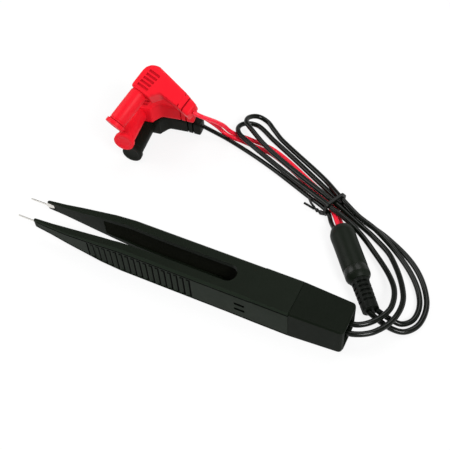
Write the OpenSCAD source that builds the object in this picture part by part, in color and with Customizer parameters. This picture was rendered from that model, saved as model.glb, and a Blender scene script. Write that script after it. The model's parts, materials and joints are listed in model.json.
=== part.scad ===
// Component tester in the form of sprung tweezers, with a tied cord,
// a splitter and three plugs with pull-off caps. Millimetres.

/* [Body] */
// Width of the body across the fingers
body_w = 21; // [20:0.2:21.6]
// Height of the body
body_h = 19.8; // [18.6:0.2:21]
// Length from the probe tips to the cord outlet
overall_l = 187; // [184:1:190]
// Length of the rear cap
cap_l = 27.4; // [26:0.2:29]
// Length of the housing block between the fingers and the rear cap
block_l = 36.6; // [34:0.2:38]
// Length of the deep-bevel part of the block
step_l = 16.5; // [13:0.5:19]
// Wall of the rear cap
wall = 1.6; // [1.2:0.1:1.8]
// Wall above and below the hollow in the block
roof = 1.8; // [1.4:0.1:2.2]
// Depth of the spigot that joins cap and block
spigot_l = 2; // [1.5:0.1:3]
// Bevel along the long edges of the grip zone
bevel = 1.1; // [0.8:0.1:1.5]
// Bevel along the long edges of the rear zone
rear_bevel = 0.8; // [0.5:0.1:1]
// Width of the cord outlet
outlet_w = 12.5; // [11:0.5:13]
// Height of the cord outlet
outlet_h = 12; // [11:0.5:13]

// Distance of the cord clamp from the outlet
clamp_set = 7; // [6.6:0.1:7]
// Length of the cord clamp
clamp_l = 9; // [7:0.5:10]

/* [Fingers] */
// Length of the parallel part of a finger
straight_l = 69.5; // [63:0.5:72]
// Length of a finger at full height
full_l = 57.5; // [50:0.5:60]
// Length of the slender part of a finger
slim_l = 22.4; // [20:0.2:25]
// Height of a finger where the slender part ends
slim_h = 9.9; // [9:0.1:10.8]
// Length of the plain slot from its root
plain_l = 39.5; // [34:0.5:46]
// Widening of the slot on each side, farther out
flare = 0.7; // [0.2:0.1:1]
// Width of the slot between the fingers
slot_w = 10; // [9:0.5:10.5]
// Height of a finger at its tip
tip_h = 5.8; // [5.2:0.1:6.8]
// Depth of the channel inside a finger
channel_t = 1.2; // [0.6:0.1:1.4]
// Height of the lips beside the channel
lip = 2.7; // [2:0.1:3.5]

/* [Side covers] */
// Thickness of the side covers
cover_t = 1.3; // [1.1:0.1:1.5]
// Number of grip steps on a cover
grip_count = 17; // [9:1:17]
// Length of one grip step
grip_pitch = 3.52; // [3.1:0.02:3.6]
// Plain length of a cover behind its grip steps
grip_set = 15.7; // [12:0.1:20]
// Distance from the finger tip to the cover
cover_set = 2; // [1.5:0.1:4]
// Depth of a grip step
grip_depth = 0.8; // [0.4:0.05:0.9]
// Height of the plain rim above the grip steps
grip_rim = 1.2; // [0.8:0.1:2]
// Length of the slots in a side panel
vent_l = 5.5; // [4:0.5:7]
// Width of the slots in a side panel
vent_w = 1.2; // [0.8:0.1:1.3]
// Distance between the slots in a side panel
vent_pitch = 4.5; // [3:0.1:5.5]
// Distance from the finger root to the slots
vent_set = 8.1; // [6:0.1:9]
// Gap around a cover
seam = 0.15; // [0.1:0.05:0.2]

/* [Contacts] */
// Thickness of the contact strips
strip_t = 0.5; // [0.4:0.05:0.6]
// Height of the contact strips
strip_h = 3.4; // [2.8:0.1:3.8]
// Length of a terminal in the block
term_l = 32.4; // [29:0.1:34]
// Diameter of a lead inside the block
lead_d = 1.2; // [0.8:0.1:1.4]
// Free length of the needle
needle_l = 11.1; // [9.5:0.1:12.5]
// Height of the needle at its point
point_h = 1; // [0.7:0.1:1.4]

/* [Leads] */
// Diameter of the long cord strands
strand_d = 2.9; // [2.5:0.1:2.9]
// Diameter of the plug wires
wire_d = 2.5; // [2.1:0.1:2.5]
// Diameter of the splitter
split_d = 13.2; // [12.2:0.2:13.2]
// Length of the splitter without its relief
split_l = 34; // [31:0.5:34]
// Length of the lighter band on the splitter
band_l = 4; // [3:0.5:6]
// Depth of the band in the splitter
band_t = 0.95; // [0.6:0.05:1.2]
// Length of the strain relief
relief_l = 17.8; // [16.5:0.1:17.8]
// Diameter of the strain relief at the splitter
relief_d = 9.3; // [8.8:0.1:10]
// Number of relief grooves
relief_grooves = 5; // [3:1:6]
// Thickness of the tie wire
tie_t = 1.3; // [0.8:0.1:1.3]

/* [Plugs] */
// Length of a plug from its pin axis to the wire
plug_l = 31.7; // [30:0.1:31.8]
// Height of a plug head above its pin axis
head_h = 9.5; // [8.5:0.1:10]
// Radius of the plug's outer corner
corner_r = 7; // [5:0.5:8]
// Thickness of a plug head
plug_t = 11.5; // [10.5:0.1:11.5]
// Diameter of the plug barrel
barrel_d = 10; // [9.6:0.1:10.2]
// Length of the plug barrel
barrel_l = 20.5; // [19:0.5:21]
// Wall of the plug barrel
barrel_wall = 1; // [0.8:0.1:1.1]
// Diameter of the contact pin
pin_d = 4; // [3.6:0.1:4]
// Length of the contact pin outside the plug body
pin_l = 18.3; // [16:0.1:19]
// Length of the spring on the pin
spring_l = 8.8; // [7:0.2:9.4]
// Length of the cap's stem inside the barrel
stem_l = 17; // [14:0.5:18]
// Thickness of the cap flange
flange_t = 2.4; // [2:0.1:2.6]
// Diameter of the cap flange
flange_d = 11.7; // [11:0.1:11.7]
// Clearance between pieces that move past each other
clear = 0.3; // [0.2:0.05:0.35]

/* [Hidden] */
$fn = 32;
hl = overall_l / 2;
hw = body_w / 2;
hz = body_h / 2;
tip_x = needle_l - hl;
seam_x = hl - cap_l;
root_x = seam_x - block_l;
root_gap = 0.15;
step_x = root_x + step_l;
flat_x = root_x - straight_l;
drop_x = root_x - full_l;
plain_x = root_x - plain_l;
slim_x = tip_x + slim_l;
pocket_x = tip_x + cover_set;
channel_x = slim_x + 14;
grip_x = root_x - grip_set - grip_count * grip_pitch;
clamp_x = hl - clamp_set;
term_x = root_x + root_gap + term_l;
cav_y = hw - cover_t - strip_t - 0.8;
cav_z = hz - roof;
tip_t = 1.4;
slack = 0.05;
rim = 0.2;
big = overall_l;

// Straight line through two stations
function line(x, x0, v0, x1, v1) = v0 + (v1 - v0) * (x - x0) / (x1 - x0);
// Outer side of a finger
function out_y(x) = lookup(x, [[tip_x, hw - 3], [slim_x, hw - 1], [flat_x, hw]]);
// Inner side of a finger
function in_y(x) = lookup(x, [[tip_x, hw - 3 - tip_t], [slim_x, slot_w / 2 + flare - 0.1],
    [drop_x - 5, slot_w / 2 + flare], [plain_x, slot_w / 2]]);
// Half height of a finger
function half_h(x) = lookup(x, [[tip_x, tip_h / 2], [tip_x + slim_l / 2, tip_h / 3 + slim_h / 6],
    [slim_x, slim_h / 2], [flat_x, slim_h / 6 + hz * 2 / 3], [drop_x, hz]]);
// Bevel of a finger
function bev(x) = lookup(x, [[tip_x, bevel * 0.35], [slim_x, bevel * 0.4], [drop_x, bevel]]);
// Inner side of the contact strip
function strip_y(x) = lookup(x, [[tip_x, in_y(tip_x) - 0.15], [flat_x, hw - cover_t - strip_t]]);
// Half width and half height of the rear cap
function cap_y(x) = hw - 1.15 * (x - seam_x) / cap_l;
function cap_z(x) = hz - (x - seam_x) / cap_l;

// Closed solid through equal rings of points
module loft(rings) {
    n = len(rings[0]);
    m = len(rings);
    pts = [for (r = rings) for (p = r) p];
    sides = [for (i = [0:m - 2]) for (k = [0:n - 1]) for (t = [0, 1])
        t == 0 ? [i * n + k, i * n + (k + 1) % n, (i + 1) * n + (k + 1) % n]
            : [i * n + k, (i + 1) * n + (k + 1) % n, (i + 1) * n + k]];
    first = [for (k = [n - 1:-1:0]) k];
    last = [for (k = [0:n - 1]) (m - 1) * n + k];
    polyhedron(points = pts, faces = concat(sides, [first, last]), convexity = 6);
}

// Eight-sided section with bevelled corners at station x
function box8(x, y0, y1, z0, z1, b) = [
    [x, y0 + b, z0], [x, y0, z0 + b], [x, y0, z1 - b], [x, y0 + b, z1],
    [x, y1 - b, z1], [x, y1, z1 - b], [x, y1, z0 + b], [x, y1 - b, z0]];

// Solid that has one outline from above and one from the side
module plate(plan, side) {
    intersection() {
        translate([0, 0, -big]) linear_extrude(2 * big) polygon(plan);
        translate([0, big, hz]) rotate([90, 0, 0]) linear_extrude(2 * big) polygon(side);
    }
}

// Side outline that is symmetrical about the middle height
function sym(list) = concat(list, [for (i = [len(list) - 1:-1:0]) [list[i][0], -list[i][1]]]);

// Flexible round cord along a route
function unit(v) = v / norm(v);
function dir(r, i) = i == 0 ? unit(r[1] - r[0])
    : i == len(r) - 1 ? unit(r[i] - r[i - 1])
    : unit(unit(r[i] - r[i - 1]) + unit(r[i + 1] - r[i]));
module cord(route, d) {
    rings = [for (i = [0:len(route) - 1])
        let (t = dir(route, i), s = unit(cross(t, [0, 0, 1])), u = cross(s, t))
        [for (k = [0:7]) route[i] + d / 2 * (cos(45 * k + 22.5) * s + sin(45 * k + 22.5) * u)]];
    loft(rings);
}

// ---- fingers, drawn for the far side ----
finger_x = [tip_x, tip_x + 0.6, tip_x + slim_l / 2, slim_x, flat_x, drop_x - 5, drop_x, plain_x,
    root_x - root_gap];
function pocket_half(x) = half_h(x) - bev(x) - rim;
function side_line(x0, less) = concat([[root_x + 1, pocket_half(root_x) - less]],
    [for (i = [len(finger_x) - 3:-1:2]) let (x = finger_x[i]) if (x > x0) [x, pocket_half(x) - less]],
    [[x0, pocket_half(x0) - less]]);
module arm_shell() {
    color("Gold") difference() {
        loft([for (x = finger_x)
            let (e = x == tip_x ? 0.3 : 0, h = half_h(x), b = bev(x))
            [[x, in_y(x), hz - h + e], [x, in_y(x), hz + h - e], [x, out_y(x) - b, hz + h - e],
             [x, out_y(x) - e, hz + h - b], [x, out_y(x) - e, hz - h + b], [x, out_y(x) - b, hz - h + e]]]);
        // inner channel
        plate([[root_x + 1, 0], [root_x + 1, in_y(root_x) + channel_t], [plain_x, in_y(plain_x) + channel_t],
               [drop_x - 5, in_y(drop_x) + channel_t], [channel_x, in_y(channel_x) + 0.2], [channel_x, 0]],
              sym([[root_x + 1, hz - lip], [drop_x, hz - lip],
                   [channel_x - 1, half_h(channel_x - 1) * (1 - lip / hz)]]));
        // pocket for the side cover
        plate([[root_x + 1, hw + 2], [root_x + 1, hw - cover_t], [flat_x, hw - cover_t],
               [pocket_x, strip_y(pocket_x) + strip_t], [pocket_x, hw + 2]],
              sym(side_line(pocket_x - 0.01, 0)));
        // groove for the contact strip
        plate([[root_x + 1, hw - cover_t + 0.2], [root_x + 1, strip_y(root_x) - slack],
               [flat_x, strip_y(root_x) - slack],
               [tip_x, strip_y(tip_x) - slack], [tip_x - 1, strip_y(tip_x) - slack],
               [tip_x - 1, strip_y(tip_x) + strip_t + slack], [tip_x, strip_y(tip_x) + strip_t + slack],
               [pocket_x, strip_y(pocket_x) + strip_t + slack],
               [pocket_x + 0.5, strip_y(pocket_x + 0.5) + strip_t + 0.2], [flat_x, hw - cover_t + 0.2]],
              sym([[root_x + 1, strip_h / 2 + slack], [tip_x - 1, strip_h / 2 + slack]]));
        // window over the contact pad
        translate([tip_x - 1, 0, hz - strip_h / 2 + 0.3]) cube([6, strip_y(tip_x) + 0.2, strip_h - 0.6]);
    }
}

module grip_cover() {
    x0 = pocket_x + seam;
    x1 = root_x - root_gap;
    gx = grip_x + grip_count * grip_pitch;
    saw = [for (i = [0:grip_count - 1]) for (t = [0, 1])
        let (x = grip_x + (i + t) * grip_pitch, d = t == 0 ? -0.05 : grip_depth)
        [x - t * 0.01, out_y(x) - d]];
    low = pocket_half(root_x) - seam - 0.5;
    high = pocket_half(root_x) - seam - grip_rim;
    color("DimGray") difference() {
        plate([[x0, strip_y(x0) + strip_t + slack], [x0, out_y(x0)], [slim_x, out_y(slim_x)], [flat_x, hw],
               [x1, hw], [x1, hw - cover_t + slack], [flat_x, hw - cover_t + slack]],
              sym(side_line(x0 - 0.01, seam)));
        // grip steps
        plate(concat([[grip_x, hw + 1]], saw, [[gx, hw + 1]]),
              [[gx + 1, -low], [gx + 1, high], [drop_x, high],
               [grip_x - 1, pocket_half(grip_x - 1) - seam - grip_rim], [grip_x - 1, -half_h(grip_x)],
               [flat_x, -half_h(flat_x)], [drop_x, -low]]);
    }
}

module contact() {
    x1 = root_x - root_gap;
    yt = strip_y(tip_x);
    color("Silver") plate(
        [[x1, strip_y(root_x)], [flat_x, strip_y(root_x)], [tip_x, yt], [-hl, yt],
         [-hl, yt + strip_t], [tip_x, yt + strip_t], [flat_x, strip_y(root_x) + strip_t],
         [x1, strip_y(root_x) + strip_t]],
        sym([[x1 + 1, strip_h / 2], [tip_x, strip_h / 2], [tip_x - 1.4, point_h / 2],
             [0.6 - hl, point_h / 2], [-hl, point_h / 2 - 0.2]]));
}

// ---- body ----
module tube8(x0, x1, y, z, b) {
    loft([box8(x0, -y, y, hz - z, hz + z, b), box8(x1, -y, y, hz - z, hz + z, b)]);
}

module body_block() {
    x0 = root_x + root_gap;
    groove_y = strip_y(root_x) - slack;
    groove_z = strip_h / 2 + slack;
    color("Gold") difference() {
        union() {
            tube8(x0, step_x, hw, hz, bevel);
            tube8(step_x - 0.01, seam_x, hw, hz, rear_bevel);
        }
        // rounded end of the finger slot with its undercut
        translate([root_x, 0, -1]) cylinder(d = slot_w, h = body_h + 2);
        translate([root_x, 0, lip]) cylinder(d = slot_w + 2 * channel_t, h = body_h - 2 * lip);
        // hollow towards the rear cap
        translate([root_x + slot_w / 2 + channel_t + 2.7, -cav_y, hz - cav_z])
            cube([big, 2 * cav_y, 2 * cav_z]);
        for (s = [0, 1]) mirror([0, s, 0]) {
            // seats of the side panel
            translate([x0 - 1, hw - cover_t, bevel + rim]) cube([big, big, body_h - 2 * (bevel + rim)]);
            translate([step_x, hw - cover_t, rear_bevel + rim])
                cube([big, big, body_h - 2 * (rear_bevel + rim)]);
            // groove of the terminal and the window where its lead joins
            translate([x0 - 1, groove_y, hz - groove_z])
                cube([term_l + 1 + slack, hw - groove_y, 2 * groove_z]);
            translate([term_x - 6, cav_y - 1, hz - strip_h / 2 + rim])
                cube([4.5, groove_y - cav_y + 1.05, strip_h - 2 * rim]);
        }
    }
}

module side_panel() {
    x0 = root_x + root_gap;
    low = hz - bevel - rim - seam;
    high = hz - rear_bevel - rim - seam;
    color("DimGray") difference() {
        translate([0, hw, hz]) rotate([90, 0, 0]) linear_extrude(cover_t - slack)
            polygon(sym([[x0, low], [step_x + seam, low], [step_x + seam, high], [seam_x, high]]));
        for (z = [-0.6, 0.4])
            translate([root_x + vent_set, hw - cover_t + 0.25, hz + z * vent_pitch - vent_w / 2])
            cube([vent_l, cover_t, vent_w]);
    }
}

module terminal() {
    color("Silver") translate([root_x + root_gap, strip_y(root_x), hz - strip_h / 2])
        cube([term_l, strip_t, strip_h]);
}

// Lead from the clamp to each terminal, with its solder joint
module solder_leads() {
    yc = strip_y(root_x);
    joint_x = term_x - 3.75;
    color("Firebrick") for (s = [-1, 1]) {
        translate([joint_x, s * yc, hz]) rotate([s * 90, 0, 0]) cylinder(d = lead_d + 1, h = lead_d);
        cord([[clamp_x - clamp_l, s * 3, hz], [clamp_x - clamp_l - 5, s * 3.4, hz],
            [(clamp_x - clamp_l + joint_x) / 2 - 1, s * 4.4, hz], [joint_x + 2.7, s * (yc - 2), hz],
            [joint_x + 0.1, s * (yc - 0.8), hz]], lead_d);
    }
}

module end_cap() {
    x0 = seam_x + seam;
    iy = cav_y - seam;
    iz = cav_z - seam;
    color("DimGray") difference() {
        union() {
            loft([for (p = [[x0 - hl, 0, 0], [-2, 0, 0], [-1.2, 0.2, 0], [-0.5, 0.75, 0.15], [0, 1.8, 0.6]])
                let (x = hl + p[0], y = cap_y(x) - p[1], z = cap_z(x) - p[2])
                box8(x, -y, y, hz - z, hz + z, rear_bevel)]);
            tube8(seam_x - spigot_l, x0 + 1, iy, iz, 0.4);
        }
        loft([for (x = [x0 + 0.9, hl - wall - 0.3])
            let (y = min(cap_y(x) - wall, iy - 0.9), z = min(cap_z(x) - wall, iz - 0.9))
            box8(x, -y, y, hz - z, hz + z, 0.5)]);
        tube8(seam_x - spigot_l - 1, x0 + 1, iy - 0.9, iz - 0.9, 0.5);
        outlet(hl - wall - 1, outlet_w, outlet_h, wall + 2);
        outlet(hl - 0.6, outlet_w + 2, outlet_h + 2, 2);
    }
}

// Rounded opening that runs along the body
module outlet(x, w, h, l) {
    r = 1.5;
    translate([x, 0, hz]) rotate([90, 0, 90]) linear_extrude(l) union() {
        square([w - 2 * r, h], center = true);
        square([w, h - 2 * r], center = true);
        for (a = [-1, 1]) for (b = [-1, 1]) translate([a * (w / 2 - r), b * (h / 2 - r)]) circle(r);
    }
}

module cord_clamp() {
    y = cav_y - seam - 1.4;
    z = min(cap_z(hl - wall) - wall, cav_z - seam - 0.9) - 0.3;
    color("Black") translate([clamp_x - clamp_l, -y, hz - z]) cube([clamp_l, 2 * y, 2 * z]);
}

// ---- cords ----
// One list of points per cord, from its outlet to its far end
route_a = [[86.5, 3, 9.9], [96, 3.6, 9.9], [103.5, 10.5, 9.4], [107.3, 21, 8.5], [103, 35.5, 6],
    [85, 54.1, 3.1], [72.1, 61.7, 5.8], [56.3, 68.6, 6.4], [28, 81.4, 4.2], [-9.6, 97.2, 5.9],
    [-14.4, 102.3, 5.1], [-14.4, 108, 3.6], [-10.6, 111.7, 2.2], [-5, 112, 1.6], [7.1, 104.9, 2.1],
    [25.2, 95.7, 1.6], [59.2, 76.4, 2.8], [72, 71, 1.9], [91.5, 63.9, 1.5], [109.7, 52.2, 1.5],
    [120.8, 36.2, 1.5], [122.3, 22.5, 1.5], [117.3, 14.2, 1.8], [109.5, 12.2, 3.6], [97.8, 14.8, 6.4]];
route_b = [[86.5, -2.4, 9.9], [96, -2, 9.9], [105, 4, 9.3], [111, 16, 8.4], [110, 31, 6.2],
    [97, 52, 3], [84, 61.8, 1.8], [72, 67, 3], [57.7, 72.5, 5.7], [24.5, 87.2, 5.2], [6, 95.6, 6.4],
    [-5.4, 102.3, 8.1], [-11, 107, 7.8], [-11.8, 112.2, 6.5], [-8.1, 116.9, 4.2], [-2.1, 117, 2.1],
    [4, 112.6, 1.8], [12, 106.9, 1.6], [45.1, 87.8, 3.6], [59.8, 76.6, 6], [71.9, 69.9, 4.7],
    [84.1, 64.9, 4.2], [100, 55.2, 2.5], [112, 43.8, 2.2], [118.3, 33, 1.6], [118.8, 23, 1.6],
    [114.5, 17.4, 2.2], [108.5, 16.4, 4.3], [101, 17.4, 6.4]];
route_black = [[-33.9, 95.7, 5.9], [-15.8, 94.5, 2.2], [11, 86.5, 1.6], [41.6, 74.2, 1.6],
    [55.3, 67.5, 2.9], [60.3, 61, 3.1], [64.7, 54.8, 6]];
route_red_a = [[-28.6, 78.2, 35.1], [-24.9, 79, 33], [-22.4, 83, 28], [-20.8, 88.7, 21],
    [-19.2, 94.5, 13], [-17.6, 98.3, 5.8], [-14.4, 100.6, 1.9], [-6, 100.7, 1.4],
    [12, 97.8, 1.4], [42.6, 82, 2], [57.7, 72.8, 2.6],
    [63.3, 65.6, 1.9], [68.7, 57.9, 6]];
route_red_b = [[-36, 92.6, 17.9], [-31, 95.2, 13.5], [-25.1, 97.3, 7.5], [-19.2, 97.8, 2.4],
    [-8, 97.3, 1.5], [12, 94.4, 1.4], [42.8, 79, 1.7], [56.6, 70.1, 2.8], [66.7, 56.4, 6]];

// ---- splitter ----
split_at = [67, 56.6, 6.6];
split_turn = [0, 90, -52.1];
nose_l = 3;
band_z = split_l - nose_l - band_l;
module at_split() {
    translate(split_at) rotate(split_turn) children();
}
module splitter_body() {
    r = split_d / 2;
    color("Black") at_split() rotate_extrude()
        polygon([[0, 0], [r - 1.9, 0], [r - 1.3, 0.9], [r - 0.6, 5], [r - 0.15, 9], [r, 12],
                 [r, band_z - slack],
                 [r - band_t, band_z - slack], [r - band_t, band_z + band_l + slack],
                 [r, band_z + band_l + slack], [r - 0.3, split_l - nose_l + 1],
                 [relief_d / 2 + 0.3, split_l], [0, split_l]]);
}
module splitter_band() {
    r = split_d / 2 - slack;
    color("DimGray") at_split() translate([0, 0, band_z]) difference() {
        cylinder(r = r, h = band_l);
        translate([0, 0, -1]) cylinder(r = split_d / 2 - band_t + slack, h = band_l + 2);
    }
}
module splitter_relief() {
    step = (relief_l - 4.5) / relief_grooves;
    color("Black") at_split() translate([0, 0, split_l]) difference() {
        cylinder(d1 = relief_d, d2 = relief_d - 0.7, h = relief_l);
        for (i = [0:relief_grooves - 1]) translate([0, 0, 2 + i * step]) difference() {
            cylinder(d = relief_d + 3, h = step * 0.42);
            translate([0, 0, -1]) cylinder(d = relief_d - 2.2, h = step + 2);
            for (a = [45, 135]) rotate([0, 0, a]) cube([relief_d + 4, 1.6, 3 * step], center = true);
        }
    }
}

// ---- wire tie ----
tie_at = [57.4, 72.1, 0];
tie_turn = 64.15;
tie_l = 1.6;
// Place of each cord across the tie, its height, and 1 for a strand
bundle = [[-5.06, 2.9, 0], [-2.15, 2.8, 0], [0.76, 2.6, 0], [4.8, 2.8, 1], [-3.6, 6.3, 1],
    [0.4, 5.7, 1], [5.1, 6, 1]];
module bundle_shape(g) {
    hull() for (b = bundle) translate([b[0], b[1]])
        circle(d = (b[2] == 1 ? strand_d : wire_d) + 2 * g, $fn = 24);
}
module twist_tie() {
    color("Black") {
        translate(tie_at) rotate([90, 0, tie_turn]) linear_extrude(tie_l, center = true)
            difference() {
                bundle_shape(0.1 + tie_t);
                bundle_shape(0.1);
            }
        for (p = tie_ends) cord(p, tie_t);
    }
}
tie_ends = [[[54.1, 65.4, 2.2], [52.1, 66.2, 0.7], [49.8, 67.3, 2.2], [47.4, 67.7, 1.2], [45, 67.6, 2.4],
        [41.7, 68, 3]],
    [[54.1, 65.4, 3.4], [52, 66.7, 2.4], [49.8, 66.9, 0.8], [47.4, 68.1, 2.5], [45.2, 69.4, 3],
        [42.8, 71.8, 4]]];

// ---- plugs, drawn with the pin axis along -Y and the wire end at +X ----
pose_a = [[-59, 84.4, 41.6], [24.5, 12, -12]];
pose_b = [[-67.7, 87.7, 17.9], [0, 0, 8.5]];
pose_c = [[-65.7, 91.1, 5.85], [0, 0, 7.8]];
module at(pose) {
    translate(pose[0]) rotate(pose[1]) children();
}
face_y = 8.1;
head_back = 4.7;
head_front = 8.3;
elbow = [12.4, -2.6];
notch_x = plug_l - 8.2;
neck_low = -3;
neck_high = 6.3;
end_low = -3.8;
end_high = 4.2;
chamfer = 0.9;
stem_out = barrel_d / 2 - barrel_wall - clear;
stem_in = pin_d / 2 + 0.35 + clear;
flange_y = face_y + barrel_l + 0.4;
spring_y = face_y + pin_l - 4 - spring_l;

// Barrel side and outer side of a plug body at station x
function plug_low(x) = x <= head_front ? -face_y
    : x < elbow[0] ? (face_y + elbow[1]) * (1 - pow((elbow[0] - x) / (elbow[0] - head_front), 1.4)) - face_y
    : x < notch_x ? line(x, elbow[0], elbow[1], notch_x, neck_low)
    : line(x, notch_x, neck_low, plug_l, end_low);
function plug_high(x) = x < corner_r - head_back
    ? head_h - corner_r + sqrt(max(0, pow(corner_r, 2) - pow(x + head_back - corner_r, 2)))
    : x < notch_x ? line(x, corner_r - head_back, head_h, notch_x, neck_high)
    : line(x, notch_x, neck_high, plug_l, end_high);
function plug_half(x) = x < head_front + 0.7 ? plug_t / 2
    : x < notch_x ? line(x, head_front + 0.7, plug_t / 2, notch_x, plug_t / 2 - 1)
    : line(x, notch_x, plug_t / 2 - 1, plug_l, plug_t / 2 - 1.25);
corner_x = [for (a = [20:14:90]) corner_r * (1 - cos(a)) - head_back];
elbow_x = [for (a = [0, 20, 40, 65, 90]) elbow[0] - (elbow[0] - head_front) * cos(a)];
plug_x = concat([-head_back], corner_x, [head_front - 0.5], elbow_x, [notch_x, plug_l - 0.5, plug_l]);

module plug_body() {
    grip = 2.4;
    difference() {
        loft([for (x = plug_x) let (e = x == -head_back || x == plug_l ? 0.6 : 0, h = plug_half(x) - e)
            box8(x, plug_low(x) + e, plug_high(x) - e + (x == -head_back ? 1.6 : 0), -h, h, chamfer)]);
        barrel() cylinder(d = pin_d, h = face_y + 1);
        // grip grooves on both flat faces
        for (s = [-1, 1]) for (i = [0:4])
            translate([i * 0.2 - 1.9, (i + 1.1) * grip - face_y, s * plug_t / 2 - 0.45])
                cube([7.2, chamfer, 0.9]);
        // notches in both edges and the groove round the end
        for (y = [neck_low - 2.6, neck_high - 1])
            translate([notch_x, y, -plug_t / 2]) cube([0.7, 3.6, plug_t]);
        translate([notch_x + 3.2, -plug_t, -plug_t]) difference() {
            cube([0.7, 2 * plug_t, 2 * plug_t]);
            translate([-1, end_low + 0.8 + plug_t, plug_t / 2 + 1.9])
                cube([3, neck_high - end_low - 2.6, plug_t - 3.8]);
        }
    }
}
module barrel() {
    rotate([90, 0, 0]) children();
}
module plug_sleeve() {
    r = barrel_d / 2;
    a = face_y;
    b = face_y + barrel_l;
    barrel() rotate_extrude() polygon([[r - barrel_wall, a], [r - 0.3, a], [r - 0.3, a + 0.5], [r, a + 0.5],
        [r, b - 1.1], [r - 0.25, b - 1.1], [r - 0.25, b - 0.8], [r, b - 0.8], [r, b], [r - barrel_wall, b]]);
}
module plug_pin() {
    r = pin_d / 2;
    end = face_y + pin_l;
    color("Silver") barrel() rotate_extrude() polygon([[0, 2], [r, 2], [r, spring_y - 0.6],
        [r - 0.7, spring_y - 0.2], [r - 0.7, spring_y + spring_l + 0.2], [r, spring_y + spring_l + 0.6],
        [r, end - 1.2], [r - 0.8, end], [0, end]]);
}
module plug_spring() {
    r = pin_d / 2;
    mid = spring_l / 2;
    color("Goldenrod") barrel() translate([0, 0, spring_y]) difference() {
        rotate_extrude() polygon([[r - 0.65, 0], [r - 0.35, 0], [r + 0.3, mid], [r - 0.35, spring_l],
            [r - 0.65, spring_l], [r, mid]]);
        for (a = [0:60:120]) rotate([0, 0, a]) translate([-big, -0.3, 1]) cube([2 * big, 0.6, spring_l - 2]);
    }
}
module plug_cap() {
    f = flange_d / 2;
    z = flange_y;
    e = z + flange_t;
    barrel() rotate_extrude() polygon([[stem_in, z - stem_l], [stem_out - 0.3, z - stem_l],
        [stem_out, z - stem_l + 0.5], [stem_out, z], [f - 0.4, z], [f, z + 0.4], [f, e - 0.4], [f - 0.4, e],
        [f - 1.8, e], [f - 2.1, e - 0.3], [0, e - 0.3], [0, z + 0.6], [stem_in, z - 0.4]]);
}

module far_arm_shell() arm_shell();
module near_arm_shell() mirror([0, 1, 0]) arm_shell();
module far_grip_cover() grip_cover();
module near_grip_cover() mirror([0, 1, 0]) grip_cover();
module far_contact() contact();
module near_contact() mirror([0, 1, 0]) contact();
module far_side_panel() side_panel();
module near_side_panel() mirror([0, 1, 0]) side_panel();
module far_terminal() terminal();
module near_terminal() mirror([0, 1, 0]) terminal();
module strand_a() color("Black") cord(route_a, strand_d);
module strand_b() color("Black") cord(route_b, strand_d);
module black_wire() color("Black") cord(route_black, wire_d);
module red_wire_a() color("Red") cord(route_red_a, wire_d);
module red_wire_b() color("Red") cord(route_red_b, wire_d);
module plug_a_body() color("Red") at(pose_a) plug_body();
module plug_a_sleeve() color("Red") at(pose_a) plug_sleeve();
module plug_a_pin() at(pose_a) plug_pin();
module plug_a_spring() at(pose_a) plug_spring();
module plug_a_cap() color("Red") at(pose_a) plug_cap();
module plug_b_body() color("Red") at(pose_b) plug_body();
module plug_b_sleeve() color("Red") at(pose_b) plug_sleeve();
module plug_b_pin() at(pose_b) plug_pin();
module plug_b_spring() at(pose_b) plug_spring();
module plug_b_cap() color("Red") at(pose_b) plug_cap();
module plug_c_body() color("Black") at(pose_c) plug_body();
module plug_c_sleeve() color("Black") at(pose_c) plug_sleeve();
module plug_c_pin() at(pose_c) plug_pin();
module plug_c_spring() at(pose_c) plug_spring();
module plug_c_cap() color("Black") at(pose_c) plug_cap();

body_block();
near_side_panel();
far_side_panel();
end_cap();
cord_clamp();
near_terminal();
far_terminal();
solder_leads();
far_arm_shell();
far_grip_cover();
far_contact();
near_arm_shell();
near_grip_cover();
near_contact();
strand_a();
strand_b();
splitter_body();
splitter_band();
splitter_relief();
twist_tie();
black_wire();
red_wire_a();
red_wire_b();
plug_a_body();
plug_a_sleeve();
plug_a_pin();
plug_a_spring();
plug_a_cap();
plug_b_body();
plug_b_sleeve();
plug_b_pin();
plug_b_spring();
plug_b_cap();
plug_c_body();
plug_c_sleeve();
plug_c_pin();
plug_c_spring();
plug_c_cap();
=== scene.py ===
import json
import math

import bmesh
import bpy
from bpy.props import FloatProperty, FloatVectorProperty, IntProperty, PointerProperty
from bpy.types import Operator, Panel, PropertyGroup
from mathutils import Euler, Matrix, Vector
from mathutils.geometry import interpolate_bezier

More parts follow.
